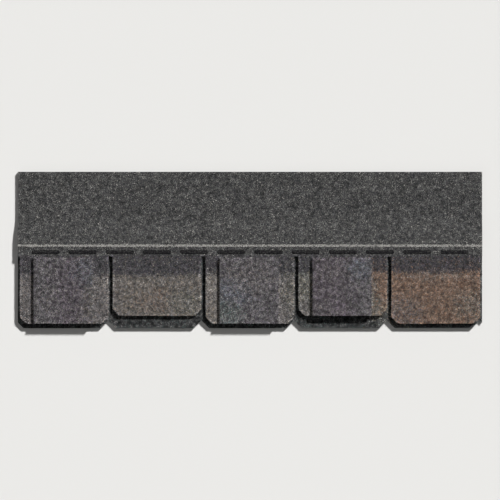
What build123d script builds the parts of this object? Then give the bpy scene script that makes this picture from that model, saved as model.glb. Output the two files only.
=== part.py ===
from build123d import *
import os

# One laminated asphalt shingle, lying flat with its granule face up. Sizes are in millimetres.
# +X runs along the shingle, +Y up the slope of the roof and +Z out of the granule face.
# The origin is the middle of the rectangle that the shingle covers, on the surface it lies on.

# Plan of the whole shingle
tab_pitch = 200  # from one slot to the next
tab_count = 5
exposure = 143  # the height that the course above leaves showing
headlap = 194  # the height that the course above covers

# The layers
backing_thickness = 2.6
bond_thickness = 0.4  # a line of adhesive between two layers
sheet_thickness = 3.0
applied_thickness = 3.0

# The tabs of the top sheet. Heights with the word rise are measured from the butt line, which is
# the lower edge of the backing strip.
slot_width = 9
slot_overrun = 12  # how far the slots go on above the exposure line
long_tab_rise = 10
short_tab_rise = 27
corner_height = 14  # of the 45 degree cut on each lower corner
corner_softening = 9

# The notches in the lower edge of the backing strip, at 45 degrees
notch_height = 17
notch_shift = 5  # how far a notch lies to the left of the middle of its slot

# The applied tabs, and which tabs carry one, from the left end
carries_applied = (True, False, True, True, False)
applied_width = 127
applied_margin = 30  # from the left side of the tab below
applied_overrun = 9  # how far an applied tab goes on above the exposure line

# The band above the slots: sealant, then the width that is nailed through both layers
sealant_clearance = 4
sealant_width = 10
sealant_height = 0.8
sealant_rounding = 0.4
sealant_dash = 62
sealant_gap = 18
nailing_width = 17

# The sheet bends down past the backing strip, until its headlap lies on the surface below
bend_clearance = 4
bend_run = 60

# The hidden lines of adhesive
bead_width = 12
bead_margin = 20  # from the lower and upper edge of the layer it holds
bead_end_margin = 20

# The release film on the underside of the backing strip
film_width = 22
film_thickness = 0.1
film_margin = 1.5  # from the upper edge of the backing strip

# Derived places
shingle_length = tab_pitch * tab_count
shingle_height = exposure + headlap
left_end = -shingle_length / 2
butt_line = -shingle_height / 2
upper_edge = shingle_height / 2
slot_top = butt_line + exposure + slot_overrun
sealant_line = slot_top + sealant_clearance + sealant_width / 2
backing_top = sealant_line + sealant_width / 2 + nailing_width
bend_start = backing_top + bend_clearance
bend_middle = bend_start + bend_run / 2
bend_end = bend_start + bend_run
tab_width = tab_pitch - slot_width
applied_numbers = [number + 1 for number, carries in enumerate(carries_applied) if carries]
applied_top = butt_line + exposure + applied_overrun

sheet_seat = backing_thickness + bond_thickness  # height of the top sheet's underside over the backing
sheet_face = sheet_seat + sheet_thickness
applied_seat = sheet_face + bond_thickness

os.makedirs("parts", exist_ok=True)


# Left side of the tab with this number, counted from 1 at the left end
def tab_left(number):
    return left_end + (number - 1) * tab_pitch + slot_width / 2


# Lower edge of the tab with this number: long and short tabs take turns
def tab_bottom(number):
    rise = long_tab_rise if number % 2 else short_tab_rise
    return butt_line + rise


# A tab of the top sheet in plan, with its two lower corners cut and softened
def tab_plan(number):
    with BuildSketch(mode=Mode.PRIVATE) as tab:
        with Locations((tab_left(number), tab_bottom(number))):
            Rectangle(
                tab_width,
                slot_top - tab_bottom(number),
                align=(Align.MIN, Align.MIN),
            )
        chamfer(tab.vertices().group_by(Axis.Y)[0], corner_height)
        cut_corners = tab.vertices().group_by(Axis.Y)[:2]
        fillet([corner for row in cut_corners for corner in row], corner_softening)
    return tab.sketch


def export_piece(piece, name):
    piece.part.label = name
    export_step(piece.part, f"parts/{name}.step")


# The top sheet: a side view of the bent sheet, drawn along the whole length
with BuildPart() as top_sheet:
    with BuildSketch(Plane.YZ.offset(left_end)):
        with BuildLine():
            underside = Line(
                (butt_line + long_tab_rise, sheet_seat), (bend_start, sheet_seat)
            )
            sag = TangentArc(underside @ 1, (bend_middle, sheet_seat / 2), tangent=(1, 0))
            TangentArc((bend_end, 0), sag @ 1, tangent=(-1, 0))
            headlap_underside = Line((bend_end, 0), (upper_edge, 0))
            upper_end = Line(headlap_underside @ 1, (upper_edge, sheet_thickness))
            headlap_face = Line(upper_end @ 1, (bend_end, sheet_thickness))
            face_lift = TangentArc(
                headlap_face @ 1,
                (bend_middle, sheet_seat / 2 + sheet_thickness),
                tangent=(-1, 0),
            )
            TangentArc((bend_start, sheet_face), face_lift @ 1, tangent=(1, 0))
            tab_face = Line(
                (bend_start, sheet_face), (butt_line + long_tab_rise, sheet_face)
            )
            Line(tab_face @ 1, underside @ 0)
        make_face()
    extrude(amount=shingle_length)

    # What the slots leave of it in plan: the part above them, and the tabs
    with BuildSketch(Plane.XY):
        with Locations((left_end, slot_top)):
            Rectangle(
                shingle_length, upper_edge - slot_top, align=(Align.MIN, Align.MIN)
            )
        for number in range(1, tab_count + 1):
            add(tab_plan(number))
    extrude(amount=sheet_face, mode=Mode.INTERSECT)

# The backing strip, with a notch behind each slot and part of a notch at each end
with BuildPart() as backing_strip:
    with BuildSketch():
        with Locations((left_end, butt_line)):
            Rectangle(
                shingle_length, backing_top - butt_line, align=(Align.MIN, Align.MIN)
            )
        with Locations((-notch_shift, butt_line)):
            with GridLocations(tab_pitch, 0, tab_count + 1, 1):
                Polygon(
                    (-notch_height, 0),
                    (notch_height, 0),
                    (0, notch_height),
                    align=None,
                    mode=Mode.SUBTRACT,
                )
    extrude(amount=backing_thickness)

    # The film is pressed flush into the underside
    film_middle = backing_top - film_margin - film_width / 2
    with BuildSketch():
        with Locations((0, film_middle)):
            Rectangle(shingle_length, film_width)
    extrude(amount=film_thickness, mode=Mode.SUBTRACT)

with BuildPart() as release_film:
    with BuildSketch():
        with Locations((0, film_middle)):
            Rectangle(shingle_length, film_width)
    extrude(amount=film_thickness)

# Lines of adhesive on the backing strip: two under each tab, and one above the slots
with BuildPart() as laminating_adhesive:
    with BuildSketch(Plane.XY.offset(backing_thickness)):
        for number in range(1, tab_count + 1):
            tab_middle = tab_left(number) + tab_width / 2
            lower_bead = tab_bottom(number) + bead_margin
            upper_bead = slot_top - bead_margin
            with Locations((tab_middle, lower_bead), (tab_middle, upper_bead)):
                Rectangle(tab_width - 2 * bead_end_margin, bead_width)
        with Locations((0, (slot_top + backing_top) / 2)):
            Rectangle(shingle_length - 2 * bead_end_margin, bead_width)
    extrude(amount=bond_thickness)

# The same under the applied tabs, and the applied tabs themselves
applied_tabs = {}
with BuildPart() as tab_adhesive:
    with BuildSketch(Plane.XY.offset(sheet_face)):
        for number in applied_numbers:
            applied_middle = tab_left(number) + applied_margin + applied_width / 2
            lower_bead = tab_bottom(number) + bead_margin
            upper_bead = applied_top - bead_margin
            with Locations((applied_middle, lower_bead), (applied_middle, upper_bead)):
                Rectangle(applied_width - 2 * bead_end_margin, bead_width)
    extrude(amount=bond_thickness)

for number in applied_numbers:
    with BuildPart() as applied_tab:
        with BuildSketch(Plane.XY.offset(applied_seat)):
            with Locations((tab_left(number) + applied_margin, tab_bottom(number))):
                Rectangle(
                    applied_width,
                    applied_top - tab_bottom(number),
                    align=(Align.MIN, Align.MIN),
                )
        extrude(amount=applied_thickness)
    applied_tabs[number] = applied_tab

# The sealant: as many dashes as fit along the shingle, each with a rounded face
sealant_pitch = sealant_dash + sealant_gap
dash_count = int(shingle_length // sealant_pitch)
with BuildPart() as sealant_strip:
    with BuildSketch(Plane.XY.offset(sheet_face)):
        with Locations((0, sealant_line)):
            with GridLocations(sealant_pitch, 0, dash_count, 1):
                Rectangle(sealant_dash, sealant_width)
    extrude(amount=sealant_height)
    fillet(sealant_strip.edges().group_by(Axis.Z)[-1], sealant_rounding)

export_piece(top_sheet, "top_sheet")
export_piece(backing_strip, "backing_strip")
export_piece(laminating_adhesive, "laminating_adhesive")
export_piece(tab_adhesive, "tab_adhesive")
export_piece(sealant_strip, "sealant_strip")
export_piece(release_film, "release_film")
for number, applied_tab in applied_tabs.items():
    export_piece(applied_tab, f"applied_tab_{number}")
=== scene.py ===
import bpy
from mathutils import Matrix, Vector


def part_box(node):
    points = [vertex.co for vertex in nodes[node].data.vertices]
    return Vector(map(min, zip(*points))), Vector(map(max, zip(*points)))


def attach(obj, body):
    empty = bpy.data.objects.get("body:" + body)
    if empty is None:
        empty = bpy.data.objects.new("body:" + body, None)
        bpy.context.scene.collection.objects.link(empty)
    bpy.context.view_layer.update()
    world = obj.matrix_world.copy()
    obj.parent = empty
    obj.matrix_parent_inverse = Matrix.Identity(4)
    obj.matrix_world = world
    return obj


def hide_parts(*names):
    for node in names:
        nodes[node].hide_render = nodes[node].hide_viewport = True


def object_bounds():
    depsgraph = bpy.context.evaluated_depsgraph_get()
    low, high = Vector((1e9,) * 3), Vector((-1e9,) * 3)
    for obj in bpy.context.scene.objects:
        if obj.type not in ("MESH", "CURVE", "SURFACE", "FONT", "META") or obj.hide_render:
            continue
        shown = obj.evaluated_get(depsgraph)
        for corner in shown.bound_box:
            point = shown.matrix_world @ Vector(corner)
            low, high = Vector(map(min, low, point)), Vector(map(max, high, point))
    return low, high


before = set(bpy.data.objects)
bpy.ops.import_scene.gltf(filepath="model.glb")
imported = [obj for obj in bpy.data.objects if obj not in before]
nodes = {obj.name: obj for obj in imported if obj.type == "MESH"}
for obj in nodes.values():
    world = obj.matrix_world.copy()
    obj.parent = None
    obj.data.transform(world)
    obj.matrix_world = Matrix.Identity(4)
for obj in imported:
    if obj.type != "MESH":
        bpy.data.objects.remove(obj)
cadBounds = [list(corner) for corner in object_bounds()]

import math

import bmesh
import bpy
import numpy as np
from mathutils import Euler, Vector, noise
from mathutils.bvhtree import BVHTree

# One laminated asphalt shingle, seen square on with its granule face up. Metres, +Y up the slope.

studio = {
    "lens": 120,  # long, so that the steps between the layers are seen straight from above
    "fills": 0.93,  # of the picture's width that the shingle takes up
    "sightReach": 100,  # how far the camera sees
    "floorColour": (0.63, 0.625, 0.61, 1),
    "floorBelow": 0.0004,  # clear of the underside, so that neither flickers through the other
    "floorReach": 20,  # from its middle to each side
    "keyAzimuth": 52,  # degrees from +X towards +Y: light from the upper right
    "keyElevation": 17,  # low, so that each layer throws a dark line on the next
    "keySoftness": 4,  # degrees across, as a lamp looks from the shingle
    "keyPower": 12.1,
    "fillElevation": 8,  # opposite the key, and lower still: it lights the cut edges, hardly the faces
    "fillSoftness": 20,
    "fillPower": 0.9,
    "skyPower": 0.14,
    "horizonPower": 0.62,  # a pale band all round, behind the floor
    "horizonHeight": (0.06, 0.24),  # where it starts to fade and has faded, as sines of the height
}


def stand(name, data):  # a new object, in the scene
    made = bpy.data.objects.new(name, data)
    bpy.context.scene.collection.objects.link(made)
    return made


def meshOf(shape, name):  # what a bmesh has come to, as mesh data
    mesh = bpy.data.meshes.new(name)
    shape.to_mesh(mesh)
    shape.free()
    return mesh


camera = stand("camera", bpy.data.cameras.new("camera"))
camera.data.lens = studio["lens"]
shingleLow, shingleHigh = (Vector(corner) for corner in cadBounds)
middle = (shingleLow + shingleHigh) / 2
pictureWidth = (shingleHigh.x - shingleLow.x) / studio["fills"]
distance = pictureWidth * camera.data.lens / camera.data.sensor_width
camera.location = (middle.x, middle.y, shingleHigh.z + distance)
camera.data.clip_end = studio["sightReach"]
bpy.context.scene.camera = camera


def sun(name, azimuth, elevation, softness, power):  # a far lamp, by where it stands
    lamp = stand(name, bpy.data.lights.new(name, "SUN"))
    lamp.rotation_euler = (math.radians(90 - elevation), 0, math.radians(azimuth + 90))
    lamp.data.energy = power
    lamp.data.angle = math.radians(softness)


keySide = studio["keyAzimuth"]
sun("key", keySide, studio["keyElevation"], studio["keySoftness"], studio["keyPower"])
sun("fill", keySide + 180, studio["fillElevation"], studio["fillSoftness"], studio["fillPower"])
bpy.context.scene.view_settings.view_transform = "Standard"
print("studio: camera", round(distance, 2), "m above the shingle")


class Wire:  # an output socket, so that maths on it reads as plain expressions
    def __init__(self, finish, socket):
        self.finish = finish
        self.socket = socket

    def maths(self, operation, first, second):
        return self.finish.node("ShaderNodeMath", {"operation": operation}, (first, second))

    def __add__(self, other):
        return self.maths("ADD", self, other)

    __radd__ = __add__

    def __sub__(self, other):
        return self.maths("SUBTRACT", self, other)

    def __rsub__(self, other):
        return self.maths("SUBTRACT", other, self)

    def __mul__(self, other):
        return self.maths("MULTIPLY", self, other)

    __rmul__ = __mul__

    def __gt__(self, other):
        return self.maths("GREATER_THAN", self, other)

    def __lt__(self, other):
        return self.maths("LESS_THAN", self, other)

    def part(self, name):  # another output of the same node
        return Wire(self.finish, self.socket.node.outputs[name])


class Finish:  # a material, or the world, in the making
    def __init__(self, name, fixed, kind="materials", shader="Principled BSDF"):
        self.material = getattr(bpy.data, kind).new(name)
        self.material.use_nodes = True
        self.tree = self.material.node_tree
        self.shader = self.tree.nodes[shader]
        for socket, value in fixed.items():
            self.shader.inputs[socket].default_value = value

    def node(self, kind, settings, sockets=(), output=0):
        made = self.tree.nodes.new(kind)
        for name, value in settings.items():
            if name == "stops":
                self.setStops(made.color_ramp, value)
            elif name == "interpolation" and kind == "ShaderNodeValToRGB":
                made.color_ramp.interpolation = value
            else:
                setattr(made, name, value)
        given = sockets.items() if isinstance(sockets, dict) else enumerate(sockets)
        for key, value in given:
            if isinstance(value, Wire):
                self.tree.links.new(value.socket, made.inputs[key])
            else:
                made.inputs[key].default_value = value
        return Wire(self, made.outputs[output])

    def setStops(self, ramp, stops):
        while len(ramp.elements) < len(stops):
            ramp.elements.new(1)
        for element, (place, colour) in zip(ramp.elements, stops):
            element.position = place
            element.color = (*colour, 1)

    def mix(self, factor, first, second):
        return self.node(
            "ShaderNodeMix",
            {"data_type": "RGBA"},
            {0: factor, 6: self.opaque(first), 7: self.opaque(second)},  # its sockets for colours
            2,
        )

    def opaque(self, colour):
        return colour if isinstance(colour, Wire) else (*colour, 1)

    def scaled(self, colour, factor):
        return self.node("ShaderNodeVectorMath", {"operation": "SCALE"}, {0: colour, "Scale": factor})

    def rise(self, value, low, high):  # 0 below low, 1 above high, smooth between
        return self.node(
            "ShaderNodeMapRange",
            {"interpolation_type": "SMOOTHSTEP"},
            {"Value": value, "From Min": low, "From Max": high},
        )

    def cloud(self, point, size, detail=2):
        return self.node(
            "ShaderNodeTexNoise",
            {},
            {"Vector": point, "Scale": 1 / size, "Detail": detail},
            "Fac",
        )

    def feed(self, **links):
        for socket, wire in links.items():
            self.tree.links.new(wire.socket, self.shader.inputs[socket.replace("_", " ")])


# A weak sky, pale at the horizon
sky = Finish("sky", {"Color": (1, 1, 1, 1)}, "worlds", "Background")
direction = sky.node("ShaderNodeTexCoord", {}, (), "Generated")
upwards = sky.node("ShaderNodeSeparateXYZ", {}, (direction,)).part("Z")
faded = sky.rise(upwards, *studio["horizonHeight"])
sky.feed(Strength=studio["horizonPower"] - faded * (studio["horizonPower"] - studio["skyPower"]))
bpy.context.scene.world = sky.material


# Crushed stone under a ceramic coat, as linear colours
stones = {
    "coal": (0.020, 0.020, 0.023),
    "slate": (0.055, 0.057, 0.062),
    "stone": (0.115, 0.112, 0.108),
    "ash": (0.22, 0.215, 0.205),
    "chalk": (0.42, 0.40, 0.37),
    "tan": (0.20, 0.162, 0.125),
    "umber": (0.088, 0.066, 0.050),
    "rust": (0.20, 0.112, 0.062),
    "sand": (0.34, 0.27, 0.19),
    "olive": (0.125, 0.125, 0.085),
    "plum": (0.090, 0.070, 0.088),
    "violet": (0.15, 0.13, 0.17),
    "blue": (0.10, 0.125, 0.16),
    "teal": (0.085, 0.135, 0.125),
}

# What each blend of granules is made of, by share, and the mean colour that the blend comes out at
blends = {
    "greyTan": {
        "mean": (0.126, 0.116, 0.113),
        "shares": {"coal": 18, "slate": 20, "stone": 26, "ash": 16, "tan": 12, "chalk": 8},
    },
    "brownTan": {
        "mean": (0.133, 0.120, 0.109),
        "shares": {"coal": 17, "slate": 10, "umber": 16, "tan": 22, "stone": 16, "ash": 10, "sand": 9},
    },
    "paleTan": {
        "mean": (0.166, 0.153, 0.143),
        "shares": {"coal": 15, "slate": 15, "stone": 26, "ash": 22, "tan": 12, "chalk": 10},
    },
    "palestTan": {
        "mean": (0.214, 0.196, 0.180),
        "shares": {"coal": 12, "slate": 12, "stone": 26, "ash": 24, "tan": 14, "chalk": 12},
    },
    "oliveTan": {
        "mean": (0.144, 0.138, 0.123),
        "shares": {"coal": 17, "slate": 14, "olive": 22, "stone": 18, "ash": 12, "sand": 9, "chalk": 8},
    },
    "orangeBrown": {
        "mean": (0.158, 0.110, 0.084),
        "shares": {"coal": 16, "umber": 22, "rust": 24, "tan": 18, "stone": 10, "sand": 10},
    },
    "purpleGrey": {
        "mean": (0.104, 0.097, 0.101),
        "shares": {"coal": 22, "slate": 24, "plum": 16, "violet": 14, "stone": 14, "ash": 10},
    },
    "deepPurple": {
        "mean": (0.098, 0.086, 0.094),
        "shares": {"coal": 24, "slate": 16, "plum": 26, "violet": 22, "ash": 12},
    },
    "bluePurple": {
        "mean": (0.106, 0.111, 0.126),
        "shares": {"coal": 20, "slate": 24, "blue": 22, "violet": 20, "ash": 14},
    },
    "tealGrey": {
        "mean": (0.116, 0.129, 0.123),
        "shares": {"coal": 18, "slate": 20, "teal": 26, "stone": 20, "chalk": 16},
    },
    "charcoal": {
        "mean": (0.044, 0.046, 0.0457),
        "shares": {"coal": 44, "slate": 28, "teal": 8, "stone": 10, "ash": 10},
    },
    "headlapGrey": {
        "mean": (0.078, 0.077, 0.075),
        "shares": {"coal": 28, "slate": 30, "stone": 26, "ash": 12, "chalk": 4},
    },
    "shadowBand": {
        "mean": (0.053, 0.0505, 0.055),
        "shares": {"coal": 34, "slate": 26, "plum": 18, "violet": 12, "stone": 10},
    },
}


# How the blends run into each other, and the painted nailing line
blending = {
    "stoneSpread": 0.8,  # how far each stone stands off its blend's mean, under the common coat
    "driftSize": 0.05,
    "drift": 0.07,  # how far the borders between blends wander
    "dropEdge": (0.3, 1.1),  # where a drop starts to thin out and has gone, in half sizes
    "dropDepth": 1000,  # a drop goes right through the layers
    "dropDrift": 4,  # how much the same wander reshapes a drop
    "bandDrift": 0.12,  # and the lower edge of the dark band
    "mottleSize": 0.018,
    "mottleDetail": 4,
    "clumpSize": 0.0076,  # across the patches of paler and darker granules
    "headlapFray": 0.005,  # the depth over which the face's granules give way to the headlap's
    "lineFray": 0.0012,
    "linePatch": 0.004,
    "lineFlecks": 0.25,  # how much single granules add to the patches of paint
    "lineWorn": 0.47,  # where the two together come to less, the paint has gone
    "linePaint": (0.34, 0.33, 0.31),
}


def blendStops(name):  # stops of a stepped ramp that turns an even random number into this blend
    shares, wanted = blends[name]["shares"], blends[name]["mean"]
    total = sum(shares.values())
    mean = [sum(stones[stone][i] * share for stone, share in shares.items()) / total for i in range(3)]
    stops, place = [], 0
    for stone, share in shares.items():
        offset = [stones[stone][i] / mean[i] - 1 for i in range(3)]
        spread = [1 + offset[i] * blending["stoneSpread"] for i in range(3)]
        stops.append((place, [min(1, wanted[i] * spread[i]) for i in range(3)]))
        place += share / total
    return stops


# Where each blend lies. A zone runs from its left end, in metres, to the next one, and softness is
# the width of the border between two. A drop is a cloud of another blend: middle, half width and
# half height, and its share of granules in the middle. Mottling and clumping are how far broad and
# small patches stray from their blend's brightness.
sheetRecipe = {
    "zones": [
        (-0.500, "greyTan"),
        (-0.290, "brownTan"),
        (-0.100, "paleTan"),
        (-0.010, "greyTan"),
        (0.095, "oliveTan"),
        (0.262, "orangeBrown"),
    ],
    "softness": 0.045,
    "drops": [
        ((-0.200, -0.105), (0.065, 0.045), 0.25, "orangeBrown"),
        ((-0.135, -0.115), (0.050, 0.045), 0.6, "oliveTan"),
        ((-0.215, -0.045), (0.110, 0.022), 0.5, "purpleGrey"),
        ((0.330, -0.135), (0.060, 0.050), 0.45, "purpleGrey"),
        ((0.395, -0.040), (0.110, 0.022), 0.5, "deepPurple"),
        ((0.150, -0.120), (0.040, 0.040), 0.4, "greyTan"),
        ((0.082, -0.105), (0.026, 0.060), 0.6, "oliveTan"),
        ((0.272, -0.125), (0.025, 0.040), 0.6, "oliveTan"),
        ((0.475, -0.120), (0.050, 0.045), 0.45, "oliveTan"),
        ((0.395, -0.056), (0.110, 0.012), 0.3, "paleTan"),
        ((-0.200, -0.066), (0.100, 0.016), 0.45, "paleTan"),
        ((-0.084, -0.076), (0.022, 0.044), 0.65, "palestTan"),
        ((-0.084, -0.135), (0.022, 0.022), 0.6, "brownTan"),
        ((-0.319, -0.071), (0.022, 0.014), 0.5, "palestTan"),
        ((0.078, -0.132), (0.024, 0.026), 0.5, "greyTan"),
        ((0.118, -0.126), (0.020, 0.028), 0.75, "greyTan"),
    ],
    "shadowBand": (-0.0597, -0.0427, 0.88),  # starts, is full, share of dark granules
    "bandSlope": 0.0110,  # the band comes a little lower down towards the left
    "headlapFrom": -0.012,
    "nailLine": (0.0070, 0.0118),
    "mottling": 0.16,
    "clumping": 0.75,
}
appliedRecipe = {
    "zones": [
        (-0.500, "purpleGrey"),
        (-0.415, "deepPurple"),
        (-0.360, "purpleGrey"),
        (0.100, "deepPurple"),
        (0.215, "purpleGrey"),
    ],
    "softness": 0.040,
    "drops": [
        ((-0.440, -0.110), (0.040, 0.060), 0.2, "greyTan"),
        ((-0.345, -0.110), (0.030, 0.080), 0.45, "brownTan"),
        ((-0.345, -0.040), (0.050, 0.050), 0.4, "bluePurple"),
        ((-0.050, -0.130), (0.045, 0.050), 0.7, "tealGrey"),
        ((-0.030, -0.085), (0.060, 0.045), 0.6, "bluePurple"),
        ((0.010, -0.060), (0.060, 0.050), 0.4, "greyTan"),
        ((0.235, -0.040), (0.040, 0.030), 0.6, "bluePurple"),
        ((-0.038, -0.050), (0.034, 0.018), 0.45, "greyTan"),
        ((0.180, -0.050), (0.050, 0.018), 0.40, "greyTan"),
        ((0.160, -0.132), (0.026, 0.022), 0.45, "greyTan"),
    ],
    "mottling": 0.16,
    "clumping": 0.95,
}
backingRecipe = {
    "zones": [(-0.5, "charcoal")],
    "softness": 0.040,
    "drops": [
        ((0.300, -0.135), (0.070, 0.060), 0.35, "oliveTan"),
        ((-0.300, -0.135), (0.050, 0.060), 0.15, "greyTan"),
    ],
    "mottling": 0.25,
    "clumping": 1.3,
}


# The colour of the granule whose middle is at spot, from three random numbers of its own: which
# stone of a blend it is, on which side of a soft border it falls, and whether a drop claims it
def granuleColour(finish, spot, picks, recipe):
    stone = finish.node("ShaderNodeSeparateXYZ", {}, (picks,))
    border, claimed = stone.part("Y"), stone.part("Z")
    place = finish.node("ShaderNodeSeparateXYZ", {}, (spot,))
    wobble = (finish.cloud(spot, blending["driftSize"]) - 0.5) * blending["drift"]
    along = place + wobble + (border - 0.5) * recipe["softness"]

    def blendOf(name):
        return finish.node(
            "ShaderNodeValToRGB", {"interpolation": "CONSTANT", "stops": blendStops(name)}, (stone,)
        ).part("Color")

    def varied(size, detail, amount):
        return 1 + (finish.cloud(spot, size, detail) - 0.5) * (2 * amount)

    colour = blendOf(recipe["zones"][0][1])
    for start, name in recipe["zones"][1:]:
        colour = finish.mix(along > start, colour, blendOf(name))
    for centre, halfSize, share, name in recipe["drops"]:
        reach = finish.node(
            "ShaderNodeMapping",
            {"vector_type": "TEXTURE"},
            {"Vector": spot, "Location": (*centre, 0), "Scale": (*halfSize, blending["dropDepth"])},
        )
        away = finish.node("ShaderNodeVectorMath", {"operation": "LENGTH"}, (reach,), "Value")
        thinned = finish.rise(away + wobble * blending["dropDrift"], *blending["dropEdge"])
        colour = finish.mix((1 - thinned) * share > claimed, colour, blendOf(name))
    up = place.part("Y")
    if "shadowBand" in recipe:
        start, full, share = recipe["shadowBand"]
        drifted = up + wobble * blending["bandDrift"] - place * recipe["bandSlope"]
        band = finish.rise(drifted, start, full) * share
        colour = finish.mix(band > border, colour, blendOf("shadowBand"))
    if "headlapFrom" in recipe:
        beyond = up + (border - 0.5) * blending["headlapFray"] > recipe["headlapFrom"]
        colour = finish.mix(beyond, colour, blendOf("headlapGrey"))
    mottle = varied(blending["mottleSize"], blending["mottleDetail"], recipe["mottling"])
    clumps = varied(blending["clumpSize"], 0, recipe["clumping"])
    colour = finish.scaled(colour, mottle * clumps)
    if "nailLine" in recipe:
        low, high = recipe["nailLine"]
        frayed = up + (border - 0.5) * blending["lineFray"]
        patches = finish.cloud(spot, blending["linePatch"]) + claimed * blending["lineFlecks"]
        painted = (frayed > low) * (frayed < high) * (patches > blending["lineWorn"])
        colour = finish.mix(painted, colour, blending["linePaint"])
    return colour


# The bed that the granules lie in: finer grains and asphalt above, cut asphalt on the sides and
# a dusting of sand below
bed = {
    "grain": 0.00105,
    "asphalt": (0.012, 0.012, 0.013),
    "cutEdge": (0.038, 0.037, 0.036),
    "fines": (0.17, 0.165, 0.155),
    "sandedBack": (0.060, 0.059, 0.057),
    "gap": (0.42, 0.62),  # where asphalt starts to show and shows fully, from a grain's middle
    "grit": 0.0004,
    "gritShowing": (0.50, 0.70),
    "backSpeck": 0.0009,
    "backShowing": (0.35, 0.70),
    "backPatch": 0.030,
    "backTone": (0.75, 0.5),  # of its darkest patches, and how much is added in the palest
    "relief": {"Distance": 0.0006, "Strength": 0.8},
    "cutDepth": 0.6,  # of the relief on the cut edges, beside that on the faces
    "roughness": (0.72, 0.25),  # where there is no grit, and how much grit adds
    "sheen": 0.1,
    "level": 0.5,  # a face whose normal is nearer upright than this is the top, or the back
}


def bedFinish(name, recipe):
    finish = Finish(name, {"Specular IOR Level": bed["sheen"]})
    point = finish.node("ShaderNodeTexCoord", {}, (), "Object")
    cells = finish.node(
        "ShaderNodeTexVoronoi", {"feature": "F1"}, {"Vector": point, "Scale": 1 / bed["grain"]}, "Distance"
    )
    colour = granuleColour(finish, cells.part("Position"), cells.part("Color"), recipe)
    face = finish.mix(finish.rise(cells, *bed["gap"]), colour, bed["asphalt"])

    grit = finish.cloud(point, bed["grit"], detail=3)
    edge = finish.mix(finish.rise(grit, *bed["gritShowing"]), bed["cutEdge"], bed["fines"])
    speck = finish.rise(finish.cloud(point, bed["backSpeck"], detail=4), *bed["backShowing"])
    back = finish.mix(speck, bed["asphalt"], bed["sandedBack"])
    darkest, added = bed["backTone"]
    back = finish.scaled(back, darkest + finish.cloud(point, bed["backPatch"], detail=3) * added)

    facing = finish.node("ShaderNodeNewGeometry", {}, (), "True Normal")
    tilt = finish.node("ShaderNodeSeparateXYZ", {}, (facing,)).part("Z")
    above, below = tilt > bed["level"], tilt < -bed["level"]
    surface = finish.mix(below, finish.mix(above, edge, face), back)
    height = (1 - cells) * above + grit * (1 - above) * bed["cutDepth"]
    bump = finish.node("ShaderNodeBump", {}, {"Height": height, **bed["relief"]})
    smoothest, added = bed["roughness"]
    finish.feed(Base_Color=surface, Normal=bump, Roughness=smoothest + grit * added)
    return finish.material


# Granules, each a stone pressed into the asphalt
granule = {
    "seed": 20,
    "shapes": 24,
    "exposedSpacing": 0.00165,
    "headlapSpacing": 0.00215,
    "widths": (0.0013, 0.0023),
    "depths": (0.75, 1),  # as a share of the width
    "heights": (0.55, 0.80),
    "knocks": (0.82, 1.22),  # how far a stone's corners are from round
    "shoved": 0.1,  # and how far each is shoved aside, of the stone's width
    "sunk": (0.02, 0.14),  # as a share of the height
    "jitter": 0.30,  # of the spacing
    "headlapFrom": -0.008,  # from here up they lie further apart
    "tallest": 0.00038,  # above the face
    "rimKept": 0.0002,  # no granule holds nearer to a cut edge
    "rimDepth": 0.0014,  # where the middle of a cut edge lies, below the face
    "rimLit": 0.0065,  # granules this near to a cut edge get a painted highlight
    "paintedRimLightGain": 0.95,  # of the painted light at the very edge, where a rim's share is 1
    "paintedRimLightBelow": 0.5,  # the share of that painted highlight on lower edges, which face away from the key light
    "paintedRimLightSides": {"sheet": (0.75, 1), "backing": (0.75, 1), "applied": (-0.25, 0.15)},  # left, right: right edges face the key light and get the most painted highlight; on the applied tabs' left edges it turns to painted shade
    "fallsFrom": 0.02,  # clear of everything
    "steepest": 0.9,  # a granule leans with a face whose normal is nearer upright than this
    "cutFace": 0.3,  # a face whose normal is nearer level than this is a cut edge
    "parts": 5,  # meshes that the granules of the long sheet are shared out over
    "matte": {"Roughness": 0.85, "Specular IOR Level": 0.05},
}


# A granule's colour comes from the numbers that it carries, with painted highlight and painted shade along
# the cut edges
def granuleFinish(name, recipe):
    finish = Finish(name, granule["matte"])
    spot = finish.node("ShaderNodeAttribute", {"attribute_name": "spot"}, (), "Vector")
    picks = finish.node("ShaderNodeAttribute", {"attribute_name": "picks"}, (), "Vector")
    # rim carries painted light: a painted highlight along the cut edges, and painted shade on the applied
    # tabs' left edges
    rim = finish.node("ShaderNodeAttribute", {"attribute_name": "rim"}, (), "Fac")
    colour = granuleColour(finish, spot, picks, recipe)
    finish.feed(Base_Color=finish.scaled(colour, 1 + rim * granule["paintedRimLightGain"]))
    return finish.material


def give(piece, material):  # a CAD node keeps its mesh and gets this finish
    for slot in piece.material_slots:
        slot.material = material


def keep(name, mesh, material, slot, *stoodFor):  # a new piece, in place on the shingle
    piece = stand(name, mesh)
    mesh.materials.append(material)
    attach(piece, "root")
    if stoodFor:
        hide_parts(*stoodFor)
    return piece


sheetBed = bedFinish("sheetBed", sheetRecipe)
backingBed = bedFinish("backingBed", backingRecipe)
appliedBed = bedFinish("appliedBed", appliedRecipe)
give(nodes["top_sheet"], sheetBed)
give(nodes["backing_strip"], backingBed)
print("granule beds done")


floorShape = bmesh.new()
bmesh.ops.create_grid(floorShape, x_segments=1, y_segments=1, size=studio["floorReach"])
bmesh.ops.translate(floorShape, verts=floorShape.verts, vec=(0, 0, -studio["floorBelow"]))
floor = stand("floor", meshOf(floorShape, "floor"))
floorFinish = Finish(
    "paleFloor", {"Base Color": studio["floorColour"], "Roughness": 1, "Specular IOR Level": 0}
)
floor.data.materials.append(floorFinish.material)


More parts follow.
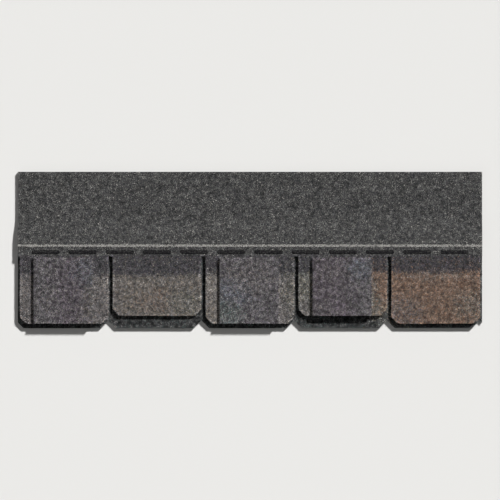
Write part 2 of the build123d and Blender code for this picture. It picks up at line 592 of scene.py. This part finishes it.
# The applied tabs, each a slab with softened rims
slab = {
    "numbers": (1, 3, 4),
    "bed": 0.00012,  # how far its bed lies below the tops of its granules
    "rim": 0.00018,
}
hair = 1e-6  # heights nearer than this are the same
slabs = {}
for number in slab["numbers"]:
    node = f"applied_tab_{number}"
    low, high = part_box(node)
    high.z -= slab["bed"]
    shape = bmesh.new()
    bmesh.ops.create_cube(shape, size=1)
    bmesh.ops.scale(shape, vec=high - low, verts=shape.verts)
    bmesh.ops.translate(shape, vec=(low + high) / 2, verts=shape.verts)
    rims = [edge for edge in shape.edges if all(abs(vert.co.z - high.z) < hair for vert in edge.verts)]
    bmesh.ops.bevel(
        shape, geom=rims, offset=slab["rim"], segments=2, profile=0.5, affect="EDGES", material=-1
    )
    name = f"slab_{number}"
    slabs[number] = keep(name, meshOf(shape, name), appliedBed, "granule_tab", node)
print("applied slabs", len(slabs))


# The sealant, laid down hot in dashes
bead = {
    "count": 12,
    "length": 0.062,
    "skirt": 0.00022,  # its height at the rim
    "steps": ((0.0013, 0.00024), (0.0014, 0.00012)),  # inset, rise
    "upright": 0.9,  # a face whose normal is nearer upright than this is part of the crown
    "corner": 0.0042,
    "cuts": 9,  # across its length, so that its sides can wander
    "wander": 90,  # how often, in a metre
    "apart": 7,  # so that no two dashes wander alike
    "unevenness": 0.00045,  # how far
    "seed": 3,
    "black": (0.008, 0.008, 0.009),
    "dusted": (0.052, 0.050, 0.048),
    "ripple": 0.006,
    "relief": {"Distance": 0.0008, "Strength": 0.7},
    "dust": 0.0024,
    "dustShowing": (0.45, 0.75),
    "dulling": (0.4, 0.8),  # the dust that starts to dull it, and dulls it fully
    "roughness": (0.75, 0.25),  # where it is clean, and how much dust adds
    "sheen": 0.03,
}
sealantLow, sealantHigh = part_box("sealant_strip")
beadPitch = (sealantHigh.x - sealantLow.x - bead["length"]) / (bead["count"] - 1)
beadLength, beadWidth = (
    side - 2 * bead["unevenness"] for side in (bead["length"], sealantHigh.y - sealantLow.y)
)


def reaches(edge, axis):  # how far an edge goes along this axis
    return abs(edge.verts[0].co[axis] - edge.verts[1].co[axis])


def dashMesh(number):  # one dash with rounded corners and a low crown, its sides wandering a little
    dash = bmesh.new()
    bmesh.ops.create_cube(dash, size=1)
    bmesh.ops.scale(dash, vec=(beadLength, beadWidth, bead["skirt"]), verts=dash.verts)
    along = [edge for edge in dash.edges if reaches(edge, 0) > beadLength / 2]
    bmesh.ops.subdivide_edges(dash, edges=along, cuts=bead["cuts"], use_grid_fill=True)
    corners = [
        edge
        for edge in dash.edges
        if reaches(edge, 2) > bead["skirt"] / 2 and abs(edge.verts[0].co.x) > beadLength / 2 - hair
    ]
    bmesh.ops.bevel(
        dash, geom=corners, offset=bead["corner"], segments=4, profile=0.5, affect="EDGES", material=-1
    )
    crown = [face for face in dash.faces if face.normal.z > bead["upright"]]
    for inset, rise in bead["steps"]:
        bmesh.ops.inset_region(dash, faces=crown, thickness=inset, depth=rise, use_even_offset=True)
    for vert in dash.verts:
        push = noise.noise_vector(vert.co * bead["wander"] + Vector((0, number * bead["apart"], 0)))
        vert.co.x += push.x * bead["unevenness"]
        vert.co.y += push.y * bead["unevenness"]
    row = (sealantLow + sealantHigh) / 2
    across = row.x + (number - (bead["count"] - 1) / 2) * beadPitch
    bmesh.ops.translate(dash, vec=(across, row.y, sealantLow.z + bead["skirt"] / 2), verts=dash.verts)
    return meshOf(dash, "dash")


noise.seed_set(bead["seed"])  # without it the sides come out differently each time
beads = bmesh.new()
for number in range(bead["count"]):
    dash = dashMesh(number)
    beads.from_mesh(dash)
    bpy.data.meshes.remove(dash)
bmesh.ops.recalc_face_normals(beads, faces=beads.faces)
for face in beads.faces:
    face.smooth = True

tacky = Finish("tackyAsphalt", {"Specular IOR Level": bead["sheen"]})
point = tacky.node("ShaderNodeTexCoord", {}, (), "Object")
ripple = tacky.cloud(point, bead["ripple"], detail=3)
dust = tacky.cloud(point, bead["dust"], detail=4)
smoothest, added = bead["roughness"]
tacky.feed(
    Base_Color=tacky.mix(tacky.rise(dust, *bead["dustShowing"]), bead["black"], bead["dusted"]),
    Roughness=smoothest + tacky.rise(dust, *bead["dulling"]) * added,
    Normal=tacky.node("ShaderNodeBump", {}, {"Height": ripple, **bead["relief"]}),
)
name = "sealant_beads"
sealant = keep(name, meshOf(beads, name), tacky.material, "sealant", "sealant_strip")
smooth = sealant.modifiers.new("smooth", "SUBSURF")
smooth.levels = smooth.render_levels = 1
print("sealant beads", bead["count"])


# The hidden layers: adhesive lines, and the film on the back
adhesiveLine = {
    "black": (0.010, 0.010, 0.011),
    "smeared": (0.028, 0.026, 0.025),
    "smear": 0.004,
    "relief": {"Distance": 0.0005, "Strength": 0.6},
    "roughness": (0.3, 0.3),  # the least, and how much the smears add
    "sheen": 0.5,
}
adhesive = Finish("laminatingAsphalt", {"Specular IOR Level": adhesiveLine["sheen"]})
point = adhesive.node("ShaderNodeTexCoord", {}, (), "Object")
smear = adhesive.cloud(point, adhesiveLine["smear"], detail=4)
smoothest, added = adhesiveLine["roughness"]
adhesive.feed(
    Base_Color=adhesive.mix(smear, adhesiveLine["black"], adhesiveLine["smeared"]),
    Roughness=smoothest + smear * added,
    Normal=adhesive.node("ShaderNodeBump", {}, {"Height": smear, **adhesiveLine["relief"]}),
)
give(nodes["laminating_adhesive"], adhesive.material)
give(nodes["tab_adhesive"], adhesive.material)

filmStrip = {
    "clouded": (0.30, 0.30, 0.305),
    "clear": (0.52, 0.52, 0.53),
    "crease": 0.010,  # its size across the strip
    "drawnOut": (0.25, 1, 1),  # so that creases are four times as long along it
    "speck": 0.0015,
    "clearing": (0.3, 0.75),
    "relief": {"Distance": 0.0006, "Strength": 0.5},
    "roughness": (0.12, 0.2),  # the least, and how much the creases add
    "sheen": 0.6,
}
film = Finish("releaseFilm", {"Specular IOR Level": filmStrip["sheen"]})
point = film.node("ShaderNodeTexCoord", {}, (), "Object")
drawnOut = film.node("ShaderNodeMapping", {}, {"Vector": point, "Scale": filmStrip["drawnOut"]})
crease = film.cloud(drawnOut, filmStrip["crease"], detail=3)
clearing = film.rise(film.cloud(point, filmStrip["speck"], detail=3), *filmStrip["clearing"])
smoothest, added = filmStrip["roughness"]
film.feed(
    Base_Color=film.mix(clearing, filmStrip["clouded"], filmStrip["clear"]),
    Roughness=smoothest + crease * added,
    Normal=film.node("ShaderNodeBump", {}, {"Height": crease, **filmStrip["relief"]}),
)
give(nodes["release_film"], film.material)
print("adhesives and film done")


chance = np.random.default_rng(granule["seed"])


def stoneShapes():  # small octahedra, knocked about and turned, in a box of one by one by one
    points, faces = [], []
    for _ in range(granule["shapes"]):
        shape = bmesh.new()
        bmesh.ops.create_uvsphere(shape, u_segments=4, v_segments=2, radius=0.5)
        for vert in shape.verts:
            vert.co *= chance.uniform(*granule["knocks"])
            vert.co += Vector(chance.uniform(-granule["shoved"], granule["shoved"], 3))
        turn = Euler(chance.uniform(0, math.tau, 3)).to_matrix()
        bmesh.ops.rotate(shape, verts=shape.verts, matrix=turn)
        bmesh.ops.recalc_face_normals(shape, faces=shape.faces)
        shape.verts.index_update()
        corners = np.array([vert.co for vert in shape.verts])
        corners /= np.abs(corners).max(axis=0) * 2
        points.append(corners)
        faces.append([[vert.index for vert in face.verts] for face in shape.faces])
        shape.free()
    return np.array(points), np.array(faces)


def lattice(low, high, spacing):  # a hexagonal lattice over this rectangle, knocked out of line
    rowHeight = spacing * math.sqrt(3) / 2
    rows = int((high[1] - low[1]) / rowHeight) + 1
    columns = int((high[0] - low[0]) / spacing) + 1
    row, column = np.meshgrid(np.arange(rows), np.arange(columns), indexing="ij")
    places = np.stack([low[0] + (column + 0.5 * (row % 2)) * spacing, low[1] + row * rowHeight], -1)
    places = places.reshape(-1, 2)
    return places + chance.uniform(-1, 1, places.shape) * granule["jitter"] * spacing


# What a granule could land on, and which piece each face is of, or only its cut edges
def landing(owners, cutsOnly=False):
    points, faces, owner = [], [], []
    for name, piece in owners.items():
        start = len(points)
        points.extend(piece.matrix_world @ vert.co for vert in piece.data.vertices)
        for face in piece.data.polygons:
            if cutsOnly and abs(face.normal.z) > granule["cutFace"]:
                continue
            faces.append([start + index for index in face.vertices])
            owner.append(name)
    return BVHTree.FromPolygons(points, faces), owner


layers = {"sheet": nodes["top_sheet"], "backing": nodes["backing_strip"], "sealant": sealant}
layers.update({f"applied_{number}": piece for number, piece in slabs.items()})
surface, layerOf = landing(layers)
cutEdges, _ = landing({name: piece for name, piece in layers.items() if name != "sealant"}, True)

border = granule["headlapFrom"]
places = np.concatenate(
    [
        lattice((shingleLow.x, shingleLow.y), (shingleHigh.x, border), granule["exposedSpacing"]),
        lattice((shingleLow.x, border), (shingleHigh.x, shingleHigh.y), granule["headlapSpacing"]),
    ]
)
partLength = (shingleHigh.x - shingleLow.x) / granule["parts"]
heaps = {}  # which granules lie on which piece: place, the face's normal, and the painted rim light, from how near a cut edge it is and which way that edge faces
for x, y in places:
    hit, normal, index, _ = surface.ray_cast(Vector((x, y, granule["fallsFrom"])), Vector((0, 0, -1)))
    if hit is None or layerOf[index] == "sealant":
        continue
    layer = layerOf[index]
    if normal.z < granule["steepest"]:
        normal = Vector((0, 0, 1))
    within = hit - normal * granule["rimDepth"]
    # painted rim light: granules near a cut edge are painted paler, most where the edge faces the key
    # light, and darker on the applied tabs' left edges
    edge, facing, _, gap = cutEdges.find_nearest(within, granule["rimLit"])
    rim = 0
    if edge is not None:
        if gap < granule["rimKept"]:
            continue
        side = granule["paintedRimLightSides"][layer.split("_")[0]][facing.x > 0]
        share = granule["paintedRimLightBelow"] + (side - granule["paintedRimLightBelow"]) * abs(facing.x)
        rim = (1 - gap / granule["rimLit"]) * share
    if layer == "sheet":
        part = math.floor((x - shingleLow.x) / partLength) + 1
        layer = f"sheet_{min(granule['parts'], max(1, part))}"
    heaps.setdefault(layer, []).append((*hit, *normal, rim))
print("granules", {name: len(heap) for name, heap in sorted(heaps.items())})

shapePoints, shapeFaces = stoneShapes()
granuleFinishes = {
    "sheet": (granuleFinish("sheetGranules", sheetRecipe), "granule_sheet"),
    "backing": (granuleFinish("backingGranules", backingRecipe), "granule_backing"),
    "applied": (granuleFinish("appliedGranules", appliedRecipe), "granule_tab"),
}


def granuleMesh(name, heap):  # a stone at each spot of the heap, half of it below the face
    heap = np.array(heap)
    spots, normals, rim = heap[:, :3], heap[:, 3:6], heap[:, 6]
    count = len(heap)
    kind = chance.integers(0, granule["shapes"], count)
    width = chance.uniform(*granule["widths"], count)
    height = np.minimum(width * chance.uniform(*granule["heights"], count), granule["tallest"] * 2)
    size = np.stack([width, width * chance.uniform(*granule["depths"], count), height], -1)
    yaw = chance.uniform(0, math.tau, count)
    side = np.stack([np.cos(yaw), np.sin(yaw), np.zeros(count)], -1)
    side -= normals * (side * normals).sum(1, keepdims=True)
    side /= np.linalg.norm(side, axis=1, keepdims=True)
    axes = np.stack([side, np.cross(normals, side), normals], 1)
    sunk = spots - normals * (height * chance.uniform(*granule["sunk"], count))[:, None]
    points = np.einsum("nvi,nij->nvj", shapePoints[kind] * size[:, None, :], axes) + sunk[:, None, :]
    faces = shapeFaces[kind] + np.arange(count)[:, None, None] * shapePoints.shape[1]
    points, faces = points.reshape(-1, 3), faces.reshape(-1, 3)
    mesh = bpy.data.meshes.new(name)
    mesh.from_pydata(points.tolist(), [], faces.tolist())
    corners = shapePoints.shape[1]
    carried = {
        "spot": ("FLOAT_VECTOR", "vector", spots),
        "picks": ("FLOAT_VECTOR", "vector", chance.uniform(0, 1, (count, 3))),
        # the painted rim light of each granule
        "rim": ("FLOAT", "value", rim[:, None]),
    }
    for key, (dataType, field, values) in carried.items():
        attribute = mesh.attributes.new(key, dataType, "POINT")
        attribute.data.foreach_set(field, np.repeat(values, corners, axis=0).ravel())
    flat = (points[:, :2] - points[:, :2].min(0)) / np.ptp(points[:, :2], axis=0)
    layer = mesh.uv_layers.new(name="OFBake")
    layer.data.foreach_set("uv", flat[faces.ravel()].ravel())
    return mesh


for layer, heap in sorted(heaps.items()):
    material, slot = granuleFinishes[layer.split("_")[0]]
    keep(f"granules_{layer}", granuleMesh(f"granules_{layer}", heap), material, slot)
print("granules laid")
